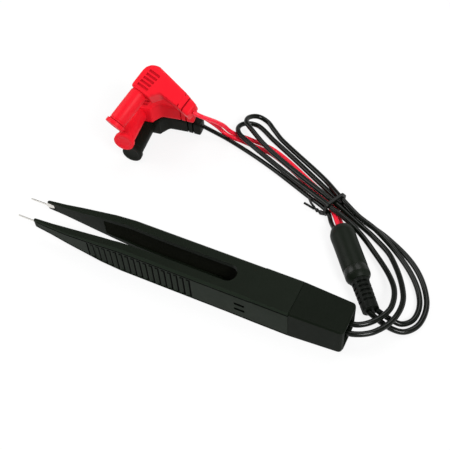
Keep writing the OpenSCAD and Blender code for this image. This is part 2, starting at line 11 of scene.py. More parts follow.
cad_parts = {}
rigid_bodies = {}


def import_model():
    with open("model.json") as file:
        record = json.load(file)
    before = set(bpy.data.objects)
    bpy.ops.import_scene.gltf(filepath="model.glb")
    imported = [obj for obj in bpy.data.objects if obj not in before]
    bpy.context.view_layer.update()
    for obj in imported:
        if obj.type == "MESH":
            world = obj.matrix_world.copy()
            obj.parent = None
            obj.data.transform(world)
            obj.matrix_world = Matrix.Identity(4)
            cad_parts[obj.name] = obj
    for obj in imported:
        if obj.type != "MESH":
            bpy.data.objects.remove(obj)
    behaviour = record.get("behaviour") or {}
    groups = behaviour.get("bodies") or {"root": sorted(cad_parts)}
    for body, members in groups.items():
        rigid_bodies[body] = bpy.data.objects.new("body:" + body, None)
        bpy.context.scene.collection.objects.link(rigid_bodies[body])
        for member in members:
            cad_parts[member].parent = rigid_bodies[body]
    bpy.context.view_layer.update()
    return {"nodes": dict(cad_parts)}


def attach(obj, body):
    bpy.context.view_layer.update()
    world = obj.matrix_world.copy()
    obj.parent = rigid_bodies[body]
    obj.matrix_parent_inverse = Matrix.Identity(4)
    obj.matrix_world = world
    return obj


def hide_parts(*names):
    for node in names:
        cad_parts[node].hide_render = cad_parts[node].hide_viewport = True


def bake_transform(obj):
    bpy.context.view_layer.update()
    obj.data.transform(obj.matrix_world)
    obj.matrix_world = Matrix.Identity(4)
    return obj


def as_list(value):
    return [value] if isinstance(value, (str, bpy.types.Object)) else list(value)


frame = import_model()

bl_info = {
    "name": "Tweezer Component Tester",
    "version": (1, 0, 0),
    "blender": (4, 5, 0),
    "location": "View3D > Sidebar > Tester",
    "description": "Dresses the tweezer component tester with its leads and plugs",
    "category": "Add Mesh",
}

MM = 0.001

# Root of a finger at the block, its end zone and the stations where loops are cut across it, in
# metres
ROOT_X = 0.02965
ROOT_ZONE = 0.0004
ROOT_STATIONS = (0.020, 0.0215, 0.023, 0.0245, 0.026, 0.0275)

# Edge radii of the small pieces, in metres
PROBE_EDGE, BOOT_EDGE, TIE_EDGE = 0.00008, 0.00012, 0.0001

# All lengths from here to the lamps are in millimetres
MIDDLE_Z = 9.9
# Half height of a finger, its bevel and the Y of its outer side at stations along X
FINGER_HALF = ((-82.4, 2.9), (-71.2, 3.583), (-60, 4.95), (-40, 8.25), (-28, 9.9))
FINGER_BEVEL = ((-82.4, 0.385), (-60, 0.44), (-28, 1.1))
FINGER_SIDE = ((-82.4, 7.5), (-60, 9.5), (-40, 10.5))
COVER_KNOTS = (-80.25, -71.2, -60.0, -40.0, -28.0, 29.65)
# Rim of the shell above a cover with the gap round it, and the width of the rims at the sides
COVER_RIM, SIDE_RIM = 0.35, 0.8
# Grip steps: first edge, pitch, number, rim above and limits of depth below the outer side
GRIP_START, GRIP_PITCH, GRIP_COUNT = -46.04, 3.52, 17
GRIP_RIM, GRIP_DEPTHS = 1.2, (0.02, 0.95)
# Reach of a step's painted shadow: from its end, down from its roof, and along its roof
GRIP_SHADE, GRIP_ROOF_SHADE, GRIP_ROOF_REACH = 1.35, 2.0, 2.4
# Upright groove ahead of the first grip step: both edges before it, depth and end margin
GROOVE_EDGES, GROOVE_DEPTH, GROOVE_MARGIN = (1.1, 0.08), 0.4, 0.2
GROOVE_ZONE = (-1.2, -0.02)
# Sunk channel inside a finger, and the slot's round end in the block, both given painted shade
CHANNEL_START, CHANNEL_END, CHANNEL_HALF = -46.2, 29.6, 7
SLOT_END, SLOT_SIDE, SLOT_HALF = 36.5, 6.25, 7.3
# Vents: start, length, half height, the factor that opens them, and their middles
VENT_X, VENT_LENGTH, VENT_HALF, VENT_OPENING = 37.6, 5.5, 0.6, 1.4
VENT_HEIGHTS = (7.2, 11.7)
# Half height of a panel from one station to the next
PANEL_SPANS = ((29.65, 8.45, 46.15, 8.45), (46.15, 8.75, 66.1, 8.75))
# Joint lines: width and depth of the slope that takes painted shade, and the place and reach of the
# painted shade at the rear cap's joint
SEAM_SLOPE, SEAM_SINK = 0.75, 0.4
SEAM_X, SEAM_NEAR = 66.1, 0.4

# Elbow plug: rear face, its round, corner radius and half width of the head, neck and end
PLUG_BACK, PLUG_ROUND, PLUG_CORNER, PLUG_SIDE = -4.7, 1.0, 1.35, 5.75
PLUG_NECK, PLUG_END, RING_SIDES = 23.5, 31.7, 48
# The round of its head with its upper and lower side, the corner below it, and the arm
HEAD_X, HEAD_ROUND, HEAD_HIGH, HEAD_LOW = 2.3, 7, 9.5, -8.1
CORNER_X, CORNER_ROUND, CORNER_LOW = 7.4, 0.9, -7.2
ARM_X, ARM_REACH, ARM_RISE, ARM_CURVE = 12.4, 4.1, 4.6, 1.4
# Moulded lines on a plug's head: number, pitch, lowest line, radius, length and both ends
LINE_COUNT, LINE_PITCH, LINE_LOW, LINE_RADIUS, LINE_LENGTH = 5, 2.4, -5.01, 0.72, 7.2
LINE_X, LINE_STAGGER, LINE_SPAN = -1.9, 0.2, (-2, 6.4)
# Cuts in a plug's neck: place, cut from its edges and cut from its flat sides
PLUG_CUTS = (
    (23.3, 0, 0), (23.46, 0.15, 0.03), (23.5, 1, 0.08), (24.2, 1, 0.08),
    (24.24, 0.15, 0.03), (24.4, 0, 0), (26.5, 0, 0), (26.66, 0.15, 0.15),
    (26.7, 0.9, 1), (27.4, 0.9, 1), (27.44, 0.15, 0.15), (27.6, 0, 0),
    (30.8, 0, 0), (31.2, 0.1, 0.1), (31.5, 0.3, 0.3), (31.7, 0.7, 0.7),
)
# Walls of the two edge notches, and of the groove all round
NOTCH_SPAN, COLLAR_SPAN = (23.47, 24.23), (26.67, 27.43)
# Turned profiles as radius and height, and the edge radius of each
BARREL_PROFILE = (
    (4.0, 8.1), (4.7, 8.1), (4.7, 8.6), (5.0, 8.9), (5.0, 27.4), (4.75, 27.55), (4.75, 27.75),
    (5.0, 27.9), (5.0, 28.6), (4.0, 28.6),
)
STOPPER_PROFILE = (
    (2.65, 12), (3.4, 12), (3.7, 12.5), (3.7, 29), (5.85, 29), (5.85, 31.4), (3.9, 31.4),
    (3.6, 31.1), (0, 31.1), (0, 29.6), (2.65, 28.6),
)
SPLITTER_PROFILE = (
    (0, 0), (5.0, 0), (5.6, 0.8), (6.5, 3), (6.75, 4.6), (6.65, 7.5), (6.58, 12), (6.58, 26.95),
    (5.65, 26.95), (5.65, 31.05), (6.58, 31.05), (6.3, 32.0), (5.0, 34), (0, 34),
)
BAND_PROFILE = ((5.7, 27.0), (6.55, 27.0), (6.55, 31.0), (5.7, 31.0))
BARREL_EDGE, STOPPER_EDGE, SPLITTER_EDGE, BAND_EDGE = 0.12, 0.22, 0.25, 0.18

# Lead routes, each from where the lead leaves its housing
ROUTE_A = (
    (86.5, 3, 9.9), (96, 3.6, 9.9), (103.5, 10.5, 9.4), (107.3, 21, 8.5), (103, 35.5, 6),
    (85, 54.1, 3.1), (72.1, 61.7, 5.8), (56.3, 68.6, 6.4), (28, 81.4, 4.2), (-9.6, 97.2, 5.9),
    (-14.4, 102.3, 5.1), (-14.4, 108, 3.6), (-10.6, 111.7, 2.2), (-5, 112, 1.6), (7.1, 104.9, 2.1),
    (25.2, 95.7, 1.6), (59.2, 76.4, 2.8), (72, 71, 1.9), (91.5, 63.9, 1.5), (109.7, 52.2, 1.5),
    (120.8, 36.2, 1.5), (122.3, 22.5, 1.5), (117.3, 14.2, 1.8), (109.5, 12.2, 3.6),
    (97.8, 14.8, 6.4),
)
ROUTE_B = (
    (86.5, -2.4, 9.9), (96, -2, 9.9), (105, 4, 9.3), (111, 16, 8.4), (110, 31, 6.2), (97, 52, 3),
    (84, 61.8, 1.8), (72, 67, 3), (57.7, 72.5, 5.7), (24.5, 87.2, 5.2), (6, 95.6, 6.4),
    (-5.4, 102.3, 8.1), (-11, 107, 7.8), (-11.8, 112.2, 6.5), (-8.1, 116.9, 4.2), (-2.1, 117, 2.1),
    (4, 112.6, 1.8), (12, 106.9, 1.6), (45.1, 87.8, 3.6), (59.8, 76.6, 6), (71.9, 69.9, 4.7),
    (84.1, 64.9, 4.2), (100, 55.2, 2.5), (112, 43.8, 2.2), (118.3, 33, 1.6), (118.8, 23, 1.6),
    (114.5, 17.4, 2.2), (108.5, 16.4, 4.3), (101, 17.4, 6.4),
)
ROUTE_BLACK = (
    (64.7, 54.8, 6), (60.3, 61, 3.1), (55.3, 67.5, 2.9), (41.6, 74.2, 1.6), (11, 86.5, 1.6),
    (-15.8, 94.5, 2.2), (-33.9, 95.7, 5.9),
)
ROUTE_RED_A = (
    (68.7, 57.9, 6), (63.3, 65.6, 1.9), (57.7, 72.8, 2.6), (42.6, 82, 2), (12, 97.8, 1.4),
    (-6, 100.7, 1.4), (-14.4, 100.6, 1.9), (-17.6, 98.3, 5.8), (-19.2, 94.5, 13),
    (-20.8, 88.7, 21), (-22.4, 83, 28), (-24.9, 79, 33), (-28.6, 78.2, 35.1),
)
ROUTE_RED_B = (
    (66.7, 56.4, 6), (56.6, 70.1, 2.8), (42.8, 79, 1.7), (12, 94.4, 1.4), (-8, 97.3, 1.5),
    (-19.2, 97.8, 2.4), (-25.1, 97.3, 7.5), (-31, 95.2, 13.5), (-36, 92.6, 17.9),
)
# Place and turn in degrees of the splitter and of each plug
SPLIT_PLACE = ((67, 56.6, 6.6), (0, 90, -52.1))
PLUG_PLACES = {
    "a": ((-59, 84.4, 41.6), (24.5, 12, -12)),
    "b": ((-67.7, 87.7, 17.9), (0, 0, 8.5)),
    "c": ((-65.7, 91.1, 5.85), (0, 0, 7.8)),
}

# Lamps, in metres: name, place, aim, size and power
LAMPS = (
    ("key", (0.72, -0.36, 0.82), (0, 0.03, 0), 0.4, 10),
    ("left", (-0.8, -0.15, 0.6), (-0.05, 0.03, 0), 0.7, 5.2),
    ("top", (0, 0.5, 1), (0, 0.05, 0), 0.8, 4.8),
)
FLOOR_SIZE, FLOOR_DROP, FLOOR_GLOW = 2.0, 0.0001, 0.84
CAMERA_LENS = 68.0
CAMERA_PLACE = (
    (0.8966, -0.3171, 0.3093, 0.1498),
    (0.4394, 0.7240, -0.5317, -0.2050),
    (-0.0553, 0.6126, 0.7885, 0.3619),
    (0, 0, 0, 1),
)

# Plastics: name, colour, roughness, grain scale, wear, specular, grain height, drift and lift
PLASTICS = (
    ("housing_plastic", "housing", 0.46, 2400, 0.3, 0.055, None, 0.25, 2.2),
    # Painted shade: a darker, duller plastic on the channel between the fingers and on the slot's
    # end
    ("channel_shade", "channel", 0.8, 1900, 0.1, 0.02, 0.00003, 0.25, 2.2),
    # Painted shade: near-black plastic in grip steps, joint slopes, the groove, vents and the black
    # plug's cuts
    ("recess_shade", "recess_shade", 0.8, 1700, 0.05, 0.03, 0.00002, 0.25, 2.2),
    ("cap_grain", "cap", 0.5, 1900, 0.3, 0.045, 0.00004, 0.25, 2.2),
    ("cover_grain", "cover", 0.52, 1700, 0.3, 0.07, 0.00004, 0.25, 2.2),
    # Painted shade: darker red in the red plugs' moulded lines and neck cuts
    ("red_cut_shade", "red_cut_shade", 0.7, 1900, 0.05, 0.04, 0.00002, 0.08, 1.1),
    ("red_plastic", "red", 0.42, 1900, 0.1, 0.1, 0.00002, 0.08, 1.1),
    ("black_plastic", "black", 0.4, 1900, 0.2, 0.06, 0.00002, 0.25, 2.2),
    ("black_lead", "lead", 0.2, 900, 0.1, 0.2, 0.00002, 0.25, 2.2),
    ("red_lead", "red_lead", 0.36, 900, 0.1, 0.22, 0.00003, 0.1, 1.05),
    ("splitter_shell_plastic", "splitter", 0.44, 2000, 0.3, 0.08, None, 0.25, 2.2),
    ("band_gloss", "band", 0.26, 2400, 0.3, 0.14, None, 0.25, 2.2),
    ("boot_rubber", "lead", 0.5, 1500, 0.3, 0.1, 0.00004, 0.25, 2.2),
    ("tie_sheath", "tie", 0.3, 1200, 0.25, 0.22, 0.00003, 0.25, 2.2),
)
# Metals: name, colour and roughness
METALS = (
    ("probe_metal", "steel", 0.3), ("brass_metal", "brass", 0.34), ("pin_metal", "steel", 0.22),
)


# ---------------- settings


def colour_property(name, description, default):
    return FloatVectorProperty(
        name=name, description=description, subtype="COLOR", size=3, min=0, max=1, default=default,
    )


def length_property(name, description, default, low, high):
    return FloatProperty(
        name=name, description=description, default=default, min=low, max=high,
        subtype="DISTANCE", unit="LENGTH",
    )


class TesterShape(PropertyGroup):
    edge: length_property(
        "Edge rounding", "Radius on the edges of the housing", 0.00022, 0.00005, 0.0004)
    seam: length_property(
        "Seam rounding", "Radius on the edges of covers and panels", 0.00012, 0.00005, 0.0004)
    strand: length_property(
        "Strand diameter", "Diameter of the two long leads", 0.0029, 0.002, 0.003)
    wire: length_property(
        "Plug lead diameter", "Diameter of the leads to the plugs", 0.0025, 0.0018, 0.0026)
    grain: length_property(
        "Grain height", "Height of the moulded grain on the plastic", 0.00003, 0, 0.0002)
    sides: IntProperty(
        name="Round sides", description="Number of faces round a turned piece",
        default=48, min=16, max=96,
    )


class TesterColours(PropertyGroup):
    housing: colour_property("Housing", "Plastic of fingers and block", (0.0046, 0.0072, 0.0040))
    cover: colour_property("Covers", "Plastic of covers and panels", (0.0082, 0.0126, 0.0076))
    cap: colour_property("Rear cap", "Plastic of the rear cap", (0.0036, 0.0056, 0.0031))
    # Painted shade: colour of the faces in grip steps, joint slopes, the groove, vents and cuts
    recess_shade: colour_property("Recesses", "Plastic deep in joint lines", (0.0011, 0.0014, 0.0010))
    # Painted shade: darker red in the red plugs' moulded lines and neck cuts
    red_cut_shade: colour_property("Red recesses", "Plastic in the red cuts", (0.46, 0.005, 0.012))
    # Painted shade: colour of the channel between the fingers and of the slot's end
    channel: colour_property("Channel", "Plastic between the fingers", (0.0062, 0.0070, 0.0042))
    red: colour_property("Red plastic", "Plastic of the red plugs", (0.68, 0.007, 0.017))
    black: colour_property("Black plastic", "Plastic of the black plug", (0.0060, 0.0070, 0.0050))
    red_lead: colour_property("Red lead", "Sheath of the red leads", (0.78, 0.012, 0.035))
    lead: colour_property("Black lead", "Sheath of the black leads", (0.0020, 0.0031, 0.0018))
    splitter: colour_property("Splitter", "Plastic of the splitter", (0.0050, 0.0074, 0.0044))
    band: colour_property("Band", "Plastic of the splitter's band", (0.0080, 0.0098, 0.0072))
    tie: colour_property("Tie", "Sheath of the wire tie", (0.0050, 0.0058, 0.0048))
    steel: colour_property("Contacts", "Plated metal of contacts and pins", (0.74, 0.72, 0.68))
    brass: colour_property("Brass", "Bare brass of terminals and springs", (0.72, 0.55, 0.27))


def shape():
    return bpy.context.scene.tester_shape


def colours():
    return bpy.context.scene.tester_colours


# ---------------- shader groups


SURFACE_OUTPUTS = (("Colour", "Color"), ("Roughness", "Float"), ("Height", "Float"))


def new_group(name, inputs, outputs):
    """A shader node group with its sockets; returns the tree and its two ends."""
    tree = bpy.data.node_groups.new(name, "ShaderNodeTree")
    for label, kind, value in inputs:
        socket = tree.interface.new_socket(
            name=label, in_out="INPUT", socket_type=f"NodeSocket{kind}")
        if value is not None:
            socket.default_value = value
    for label, kind in outputs:
        tree.interface.new_socket(name=label, in_out="OUTPUT", socket_type=f"NodeSocket{kind}")
    return tree, tree.nodes.new("NodeGroupInput"), tree.nodes.new("NodeGroupOutput")


def feed(tree, socket, value):
    """Links another socket to this one, or sets its value."""
    if hasattr(value, "is_output"):
        tree.links.new(value, socket)
    else:
        socket.default_value = value


def math_node(tree, operation, a, b, clamp=False):
    node = tree.nodes.new("ShaderNodeMath")
    node.operation = operation
    node.use_clamp = clamp
    feed(tree, node.inputs[0], a)
    feed(tree, node.inputs[1], b)
    return node.outputs[0]


def varied(tree, value, noise, amount, clamp=False):
    """A value that a noise moves up and down by half the amount."""
    shift = math_node(tree, "MULTIPLY", math_node(tree, "SUBTRACT", noise, 0.5), amount)
    return math_node(tree, "ADD", value, shift, clamp)


def noise_node(tree, vector, scale, detail=3.0, roughness=0.55):
    node = tree.nodes.new("ShaderNodeTexNoise")
    feed(tree, node.inputs["Vector"], vector)
    feed(tree, node.inputs["Scale"], scale)
    node.inputs["Detail"].default_value = detail
    node.inputs["Roughness"].default_value = roughness
    return node.outputs["Fac"]


def ramp_node(tree, value, low, high):
    node = tree.nodes.new("ShaderNodeMapRange")
    node.inputs["From Min"].default_value = low
    node.inputs["From Max"].default_value = high
    feed(tree, node.inputs["Value"], value)
    return node.outputs["Result"]


def mix_colour(tree, factor, a, b):
    node = tree.nodes.new("ShaderNodeMix")
    node.data_type = "RGBA"
    for i, value in ((0, factor), (6, a), (7, b)):
        feed(tree, node.inputs[i], value)
    return node.outputs[2]


def scaled_colour(tree, colour, scale):
    node = tree.nodes.new("ShaderNodeVectorMath")
    node.operation = "SCALE"
    feed(tree, node.inputs[0], colour)
    feed(tree, node.inputs["Scale"], scale)
    return node.outputs[0]


def stretched(tree, vector, scale, turn=(0, 0, 0)):
    node = tree.nodes.new("ShaderNodeMapping")
    node.inputs["Scale"].default_value = scale
    node.inputs["Rotation"].default_value = turn
    feed(tree, node.inputs["Vector"], vector)
    return node.outputs[0]


def moulded_group():
    """Colour drift, gloss drift and grain of a moulded plastic."""
    tree, start, end = new_group(
        "Moulded Plastic",
        (
            ("Vector", "Vector", None), ("Colour", "Color", (0.1, 0.1, 0.1, 1)),
            ("Drift", "Float", 0.1), ("Roughness", "Float", 0.45), ("Grain Scale", "Float", 2500.0),
        ),
        SURFACE_OUTPUTS,
    )
    vector, grain = start.outputs["Vector"], start.outputs["Grain Scale"]
    slow = noise_node(tree, vector, 70.0, 4.0)
    fine = noise_node(tree, vector, grain, 2.0)
    smudge = noise_node(tree, vector, 160.0, 5.0, 0.65)
    cells = tree.nodes.new("ShaderNodeTexVoronoi")
    feed(tree, cells.inputs["Vector"], vector)
    feed(tree, cells.inputs["Scale"], grain)
    bright = varied(tree, 1.0, slow, start.outputs["Drift"])
    feed(tree, end.inputs["Colour"], scaled_colour(tree, start.outputs["Colour"], bright))
    rough = varied(tree, start.outputs["Roughness"], smudge, 0.16)
    feed(tree, end.inputs["Roughness"], varied(tree, rough, fine, 0.10, clamp=True))
    pits = math_node(tree, "MULTIPLY", cells.outputs["Distance"], 0.6)
    feed(tree, end.inputs["Height"], math_node(tree, "ADD", fine, pits))


def wear_group():
    """Mask of rubbed edges and hairline scratches."""
    tree, start, end = new_group(
        "Handling Wear",
        (("Vector", "Vector", None), ("Edge", "Float", 0.0), ("Amount", "Float", 0.3)),
        (("Mask", "Float"), ("Scratches", "Float")),
    )
    vector, amount = start.outputs["Vector"], start.outputs["Amount"]
    patchy = ramp_node(tree, noise_node(tree, vector, 420.0, 6.0, 0.7), 0.42, 0.68)
    rubbed = math_node(tree, "MULTIPLY", start.outputs["Edge"], patchy)
    lines = []
    for scale, turn, fineness, low, high in (
        ((0.08, 1.0, 1.0), (0.0, 0.0, 0.25), 3600.0, 0.69, 0.76),
        ((1.0, 0.07, 1.0), (0.1, 0.0, -0.4), 3100.0, 0.70, 0.77),
    ):
        noise = noise_node(tree, stretched(tree, vector, scale, turn), fineness, 2.0, 0.4)
        lines.append(ramp_node(tree, noise, low, high))
    patches = ramp_node(tree, noise_node(tree, vector, 90.0), 0.5, 0.66)
    scratches = math_node(tree, "MULTIPLY", math_node(tree, "MAXIMUM", *lines), patches)
    for label, value in (("Mask", rubbed), ("Scratches", scratches)):
        feed(tree, end.inputs[label], math_node(tree, "MULTIPLY", value, amount, clamp=True))


def brushed_group():
    """Fine drawn lines and tarnish of plated metal."""
    tree, start, end = new_group(
        "Drawn Metal",
        (
            ("Vector", "Vector", None), ("Colour", "Color", (0.7, 0.7, 0.7, 1)),
            ("Roughness", "Float", 0.3),
        ),
        SURFACE_OUTPUTS,
    )
    vector = start.outputs["Vector"]
    lines = noise_node(tree, stretched(tree, vector, (0.05, 1.0, 1.0)), 5200.0, 3.0, 0.6)
    cloud = noise_node(tree, vector, 380.0, 4.0, 0.6)
    dull = math_node(tree, "ADD", math_node(tree, "MULTIPLY", cloud, 0.3), 0.82)
    feed(tree, end.inputs["Colour"], scaled_colour(tree, start.outputs["Colour"], dull))
    rough = varied(tree, start.outputs["Roughness"], lines, 0.25, clamp=True)
    feed(tree, end.inputs["Roughness"], rough)
    feed(tree, end.inputs["Height"], lines)


def placed(tree, group, **values):
    """A node of the group, with its sockets linked or set by name."""
    node = tree.nodes.new("ShaderNodeGroup")
    node.node_tree = bpy.data.node_groups[group]
    for label, value in values.items():
        feed(tree, node.inputs[label.replace("_", " ")], value)
    return node


def start_material(name):
    material = bpy.data.materials.new(name)
    material.use_nodes = True
    tree = material.node_tree
    place = tree.nodes.new("ShaderNodeTexCoord").outputs["Object"]
    return tree, tree.nodes["Principled BSDF"], place


def bumped(tree, shader, height, strength, distance):
    bump = tree.nodes.new("ShaderNodeBump")
    bump.inputs["Strength"].default_value = strength
    bump.inputs["Distance"].default_value = distance
    feed(tree, bump.inputs["Height"], height)
    feed(tree, shader.inputs["Normal"], bump.outputs["Normal"])


def plastic(name, colour, roughness, grain, wear, specular, height, drift, lift):
    """Moulded plastic; with no height given, its grain takes the one in the settings."""
    tree, shader, place = start_material(name)
    base = placed(tree, "Moulded Plastic", Vector=place, Colour=(*colour, 1.0), Drift=drift,
                  Roughness=roughness, Grain_Scale=grain)
    edge = tree.nodes.new("ShaderNodeAttribute")
    edge.attribute_name = "edge"
    worn = placed(tree, "Handling Wear", Vector=place, Edge=edge.outputs["Fac"], Amount=wear)
    rubbed, scratches = worn.outputs["Mask"], worn.outputs["Scratches"]
    pale = tuple(min(1.0, c * lift + 0.012) for c in colour) + (1.0,)
    final = mix_colour(
        tree, scratches, mix_colour(tree, rubbed, base.outputs["Colour"], pale), pale)
    feed(tree, shader.inputs["Base Color"], final)
    polish = math_node(tree, "MULTIPLY", rubbed, 0.12)
    rough = math_node(tree, "SUBTRACT", base.outputs["Roughness"], polish, clamp=True)
    feed(tree, shader.inputs["Roughness"], rough)
    relief = math_node(tree, "SUBTRACT", base.outputs["Height"], scratches)
    bumped(tree, shader, relief, 0.55, shape().grain if height is None else height)
    shader.inputs["Specular IOR Level"].default_value = specular


def metal(name, colour, roughness):
    """Plated or bare metal with fine drawn lines."""
    tree, shader, place = start_material(name)
    base = placed(
        tree, "Drawn Metal", Vector=place, Colour=(*colour, 1.0), Roughness=roughness)
    feed(tree, shader.inputs["Base Color"], base.outputs["Colour"])
    feed(tree, shader.inputs["Roughness"], base.outputs["Roughness"])
    bumped(tree, shader, base.outputs["Height"], 0.4, 0.00002)
    shader.inputs["Metallic"].default_value = 1.0


# ---------------- mesh helpers


def finish_mesh(bm, name, material, sharp=38.0, recalc=True):
    """Turns a bmesh into a shown object with clean normals."""
    bmesh.ops.remove_doubles(bm, verts=bm.verts, dist=1e-7)
    bmesh.ops.delete(bm, geom=[e for e in bm.edges if not e.link_faces], context="EDGES")
    if recalc:
        bmesh.ops.recalc_face_normals(bm, faces=bm.faces)
    for face in bm.faces:
        face.smooth = True
    for edge in bm.edges:
        if len(edge.link_faces) == 2:
            edge.smooth = edge.calc_face_angle(0.0) < math.radians(sharp)
    mesh = bpy.data.meshes.new(name)
    bm.to_mesh(mesh)
    bm.free()
    mesh.materials.append(material)
    piece = bpy.data.objects.new(name, mesh)
    bpy.context.scene.collection.objects.link(piece)
    return piece


def centre_of(face):
    """Middle of a face, in millimetres."""
    return face.calc_center_median() / MM


def mark_faces(bm, index, chosen):
    """Gives the chosen faces another finish; the choice is by face and its middle."""
    for face in bm.faces:
        if chosen(face, centre_of(face)):
            face.material_index = index


def listed(items):
    """Each item once, in the order of its first place."""
    return list(dict.fromkeys(items))


def along(x, knots):
    """Value at x on the line through the knots, level beyond both ends."""
    if x <= knots[0][0]:
        return knots[0][1]
    for (x0, v0), (x1, v1) in zip(knots, knots[1:]):
        if x <= x1:
            return v0 + (v1 - v0) * (x - x0) / (x1 - x0)
    return knots[-1][1]


def depth_of(centre):
    """Depth of a face's middle below the outer side."""
    return along(centre.x, FINGER_SIDE) - abs(centre.y)


def cover_half(x):
    """Half height of a cover at x."""
    return along(x, FINGER_HALF) - along(x, FINGER_BEVEL) - COVER_RIM


def round_edges(bm, width, segments, angle, skip=None, shaded=None):
    """Rounds the edges sharper than the angle, and marks the new faces for painted shade or as
    worn.
    """
    limit = math.radians(angle)
    edges = [
        e for e in bm.edges
        if len(e.link_faces) == 2 and e.calc_face_angle(0.0) > limit and not (skip and skip(e))
    ]
    layer = bm.faces.layers.float.get("edge") or bm.faces.layers.float.new("edge")
    rounded = bmesh.ops.bevel(
        bm, geom=edges, offset=width, offset_type="OFFSET", segments=segments, profile=0.5,
        affect="EDGES", clamp_overlap=True, loop_slide=True, material=-1,
    )
    for face in rounded["faces"]:
        if shaded and shaded(face):
            face.material_index = 1
        else:
            face[layer] = 1.0


def cad_copy(node):
    """A merged copy of a CAD node's mesh, with its flat faces whole."""
    bm = bmesh.new()
    bm.from_mesh(frame["nodes"][node].data)
    bmesh.ops.remove_doubles(bm, verts=bm.verts, dist=2e-6)
    bmesh.ops.dissolve_limit(
        bm, angle_limit=math.radians(0.6), verts=bm.verts, edges=bm.edges,
        use_dissolve_boundaries=False,
    )
    return bm


def stand_for(piece, node, slot, body=None):
    """Puts a piece in a CAD node's place and on its body; the slot is not used."""
    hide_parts(node)
    if body:
        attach(piece, body)
    return piece


def dress_copy(node, name, finish, body, slot, width, angle=24.0, skip=None, edit=None,
               shaded=None, deep="recess_shade"):
    """A CAD node's copy, edited and rounded, with painted shade, the deep finish, on its marked
    faces.
    """
    bm = cad_copy(node)
    if edit:
        edit(bm)
    round_edges(bm, width, 2, angle, skip, shaded)
    piece = finish_mesh(bm, name, made(finish), 60.0, recalc=False)
    modifier = piece.modifiers.new("Weighted normals", "WEIGHTED_NORMAL")
    modifier.keep_sharp = True
    modifier.weight = 80
    if any(polygon.material_index for polygon in piece.data.polygons):
        piece.data.materials.append(made(deep))
        piece.data.materials.append(made("cover_grain"))
    return stand_for(piece, node, slot, body)


def on_root(edge):
    return all(abs(v.co.x - ROOT_X) < 2e-5 for v in edge.verts)


def turned(profile, place, bevel):
    """A bmesh turned round the Z axis from a closed profile, rounded and put in place."""
    bm = bmesh.new()
    verts = [bm.verts.new((r * MM, 0.0, h * MM)) for r, h in profile]
    edges = [bm.edges.new(pair) for pair in zip(verts, verts[1:] + verts[:1])]
    bmesh.ops.spin(
        bm, geom=verts + edges, cent=(0, 0, 0), axis=(0, 0, 1), angle=math.tau,
        steps=shape().sides, use_merge=True, use_duplicate=False,
    )
    bmesh.ops.remove_doubles(bm, verts=bm.verts, dist=1e-7)
    bmesh.ops.dissolve_degenerate(bm, dist=1e-8, edges=bm.edges)
    bmesh.ops.recalc_face_normals(bm, faces=bm.faces)
    round_edges(bm, bevel * MM, 3, 30.0)
    move(bm, place)
    return bm


def move(bm, place):
    """Moves a bmesh by a matrix whose lengths are in millimetres."""
    matrix = place.copy()
    matrix.translation = matrix.translation * MM
    bmesh.ops.transform(bm, matrix=matrix, verts=bm.verts)


def turn_matrix(degrees):
    return Euler([math.radians(a) for a in degrees]).to_matrix().to_4x4()


def smooth_line(points):
    """Points about a millimetre apart, in metres, on a smooth line through the given ones."""
    p = [Vector(q) for q in points]
    line = []
    for i in range(len(p) - 1):
        before = p[max(i - 1, 0)]
        after = p[min(i + 2, len(p) - 1)]
        a, b = p[i], p[i + 1]
        span = (b - a).length
        lead_in = (b - before).normalized() * span / 3
        lead_out = (after - a).normalized() * span / 3
        count = max(2, round(span) + 1)
        line += interpolate_bezier(a, a + lead_in, b - lead_out, b, count)[:-1]
    line.append(p[-1])
    return [q * MM for q in line]


def lead(name, node, route, diameter, finish, slot, far_end, with_pieces):
    """A round lead on an open spline along its route."""
    line = smooth_line(route)
    curve = bpy.data.curves.new(name, "CURVE")
    curve.dimensions = "3D"
    curve.bevel_depth = diameter / 2
    curve.bevel_resolution = 6
    curve.use_fill_caps = True
    spline = curve.splines.new("POLY")
    spline.points.add(len(line) - 1)
    for target, point in zip(spline.points, line):
        target.co = (*point, 1.0)
    spline.use_smooth = True
    curve.materials.append(made(finish))
    piece = bpy.data.objects.new(name, curve)
    bpy.context.scene.collection.objects.link(piece)
    stand_for(piece, node, slot, "tester")
    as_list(with_pieces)


def paint(node, material):
    """Gives a CAD node its material."""
    mesh = frame["nodes"][node].data
    if not mesh.materials:
        mesh.materials.append(material)
    for i in range(len(mesh.materials)):
        mesh.materials[i] = material


def made(name):
    """The finish of that name."""
    return bpy.data.materials[name]


# ---------------- pieces


class TESTER_OT_finishes(Operator):
    """Builds the shader groups and every finish of the tester"""

    bl_idname = "tester.finishes"
    bl_label = "Finishes"

    def execute(self, context):
        c = colours()
        moulded_group()
        wear_group()
        brushed_group()
        for name, colour, *values in PLASTICS:
            plastic(name, getattr(c, colour), *values)
        for name, colour, roughness in METALS:
            metal(name, getattr(c, colour), roughness)
        for node in frame["nodes"]:
            finish = "black_plastic"
            if node.endswith("contact"):
                finish = "probe_metal"
            elif node.endswith("pin"):
                finish = "pin_metal"
            elif node.endswith(("terminal", "spring")):
                finish = "brass_metal"
            elif node == "solder_leads":
                finish = "red_lead"
            elif node.startswith(("plug_a", "plug_b")):
                finish = "red_plastic"
            paint(node, made(finish))
        return {"FINISHED"}


class TESTER_OT_camera(Operator):
    """Places the camera"""

    bl_idname = "tester.camera"
    bl_label = "Camera"

    def execute(self, context):
        data = bpy.data.cameras.new("view")
        data.lens = CAMERA_LENS
        data.sensor_width = 36.0
        data.clip_start = 0.01
        data.clip_end = 20.0
        camera = bpy.data.objects.new("view", data)
        camera.matrix_world = Matrix(CAMERA_PLACE)
        context.scene.collection.objects.link(camera)
        context.scene.camera = camera
        return {"FINISHED"}


